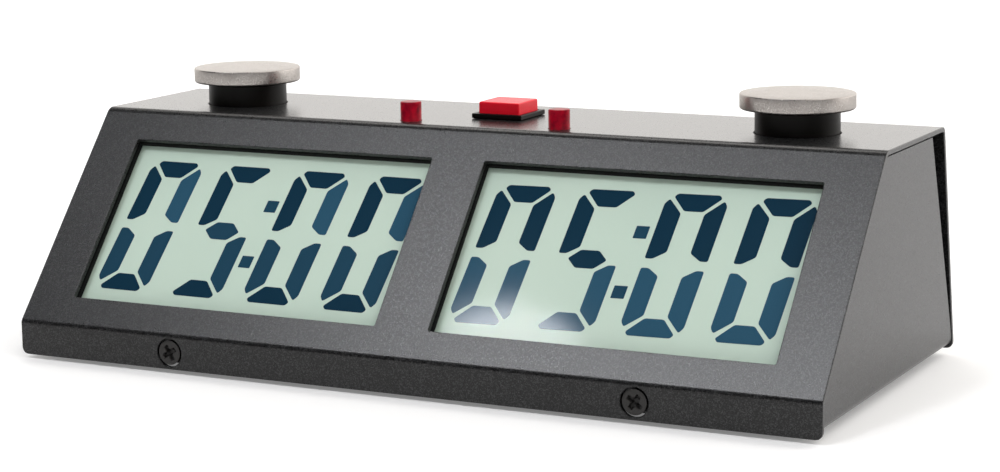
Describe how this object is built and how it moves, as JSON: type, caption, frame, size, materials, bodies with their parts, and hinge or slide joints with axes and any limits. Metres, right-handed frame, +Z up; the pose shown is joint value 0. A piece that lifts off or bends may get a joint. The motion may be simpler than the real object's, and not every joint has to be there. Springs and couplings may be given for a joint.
{
  "type": "digital chess clock",
  "caption": "Wedge-shaped digital chess clock: folded steel case, two slanted seven-segment displays, sprung steel-capped plungers, red push button and lamps.",
  "frame": {"origin": "on the ground under the middle of the case", "axes": "+X along the case to the right, seen from the players' side with the displays; displays face -Y and up; +Z up"},
  "size_m": [0.21, 0.0954, 0.0673],
  "materials": {
    "case_coat": "black textured powder coat, satin",
    "button_steel": "turned and brushed, satin",
    "black_plastic": "moulded, satin",
    "black_screw": "black oxide, semi-gloss",
    "spring_steel": "bright",
    "display_glass": "pale grey-green reflective display with dark blue segments",
    "contact_rubber": "matte",
    "red_button": "moulded, gloss",
    "red_lamp": "tinted clear, gloss",
    "circuit_board": "solder mask, satin",
    "chip_plastic": "matte",
    "foot_rubber": "matte",
    "cell_jacket": "printed sleeve, gloss",
    "red_wire": "insulation, satin",
    "black_wire": "insulation, satin",
    "ribbon": "insulation, matte"
  },
  "bodies": {
    "case": {"base_tray": "case_coat", "battery_cell_front_left": "cell_jacket", "battery_cell_front_right": "cell_jacket", "battery_cell_rear_left": "cell_jacket", "battery_cell_rear_right": "cell_jacket", "battery_holder": "black_plastic", "battery_lead_black": "black_wire", "battery_lead_red": "red_wire", "battery_link_contact": "spring_steel", "battery_middle_contact_front": "spring_steel", "battery_middle_contact_rear": "spring_steel", "battery_negative_contact": "spring_steel", "battery_positive_contact": "spring_steel", "board_ribbon": "ribbon", "board_screw_left_lower": "spring_steel", "board_screw_left_upper": "spring_steel", "board_screw_right_lower": "spring_steel", "board_screw_right_upper": "spring_steel", "buzzer": "chip_plastic", "centre_button_housing": "black_plastic", "controller_chip": "chip_plastic", "cover": "case_coat", "front_foot_left": "foot_rubber", "front_foot_right": "foot_rubber", "front_screw_left": "black_screw", "front_screw_right": "black_screw", "left_button_guide": "black_plastic", "left_contact_strip_lower": "contact_rubber", "left_contact_strip_upper": "contact_rubber", "left_display_frame": "black_plastic", "left_lamp": "red_lamp", "left_lcd_panel": "display_glass", "left_micro_switch": "black_plastic", "left_switch_cable": "black_wire", "main_board": "circuit_board", "rear_foot_left": "foot_rubber", "rear_foot_right": "foot_rubber", "rear_screw_left": "black_screw", "rear_screw_right": "black_screw", "right_button_guide": "black_plastic", "right_contact_strip_lower": "contact_rubber", "right_contact_strip_upper": "contact_rubber", "right_display_frame": "black_plastic", "right_lamp": "red_lamp", "right_lcd_panel": "display_glass", "right_micro_switch": "black_plastic", "right_switch_cable": "black_wire", "timing_crystal": "spring_steel", "top_board": "circuit_board"},
    "left_button": {"left_button_disc": "button_steel", "left_button_stem": "black_plastic", "left_button_spring": "spring_steel"},
    "right_button": {"right_button_disc": "button_steel", "right_button_stem": "black_plastic", "right_button_spring": "spring_steel"},
    "left_lever": {"left_switch_lever": "spring_steel"},
    "right_lever": {"right_switch_lever": "spring_steel"},
    "centre_button": {"centre_button_cap": "red_button", "centre_button_spring": "spring_steel"},
    "battery_door": {"battery_door": "black_plastic"}
  },
  "joints": [
    {"name": "left_button_press", "type": "slide", "parent": "case", "child": "left_button", "axis": [0, 0, -1], "range_m": [0, 0.003], "stiffness_N_per_m": 350, "springref_m": -0.002, "deforming": ["left_button_spring"]},
    {"name": "right_button_press", "type": "slide", "parent": "case", "child": "right_button", "axis": [0, 0, -1], "range_m": [0, 0.003], "stiffness_N_per_m": 350, "springref_m": -0.002, "deforming": ["right_button_spring"]},
    {"name": "left_lever_swing", "type": "hinge", "parent": "case", "child": "left_lever", "pos_m": [-0.085, 0.0144, 0.03298], "axis": [0, 1, 0], "range_deg": [0, 16]},
    {"name": "right_lever_swing", "type": "hinge", "parent": "case", "child": "right_lever", "pos_m": [0.067, 0.0144, 0.03298], "axis": [0, 1, 0], "range_deg": [0, 16]},
    {"name": "centre_button_press", "type": "slide", "parent": "case", "child": "centre_button", "axis": [0, 0, -1], "range_m": [0, 0.0015], "stiffness_N_per_m": 300, "springref_m": -0.0015, "deforming": ["centre_button_spring"]},
    {"name": "battery_door_swing", "type": "hinge", "parent": "case", "child": "battery_door", "pos_m": [0, 0.0064, 0.0035], "axis": [-1, 0, 0], "range_deg": [0, 95]}
  ],
  "couplings": [
    {"joint": "left_lever_swing", "follows": "left_button_press", "rad_per_m": 91.688},
    {"joint": "right_lever_swing", "follows": "right_button_press", "rad_per_m": 91.688}
  ]
}
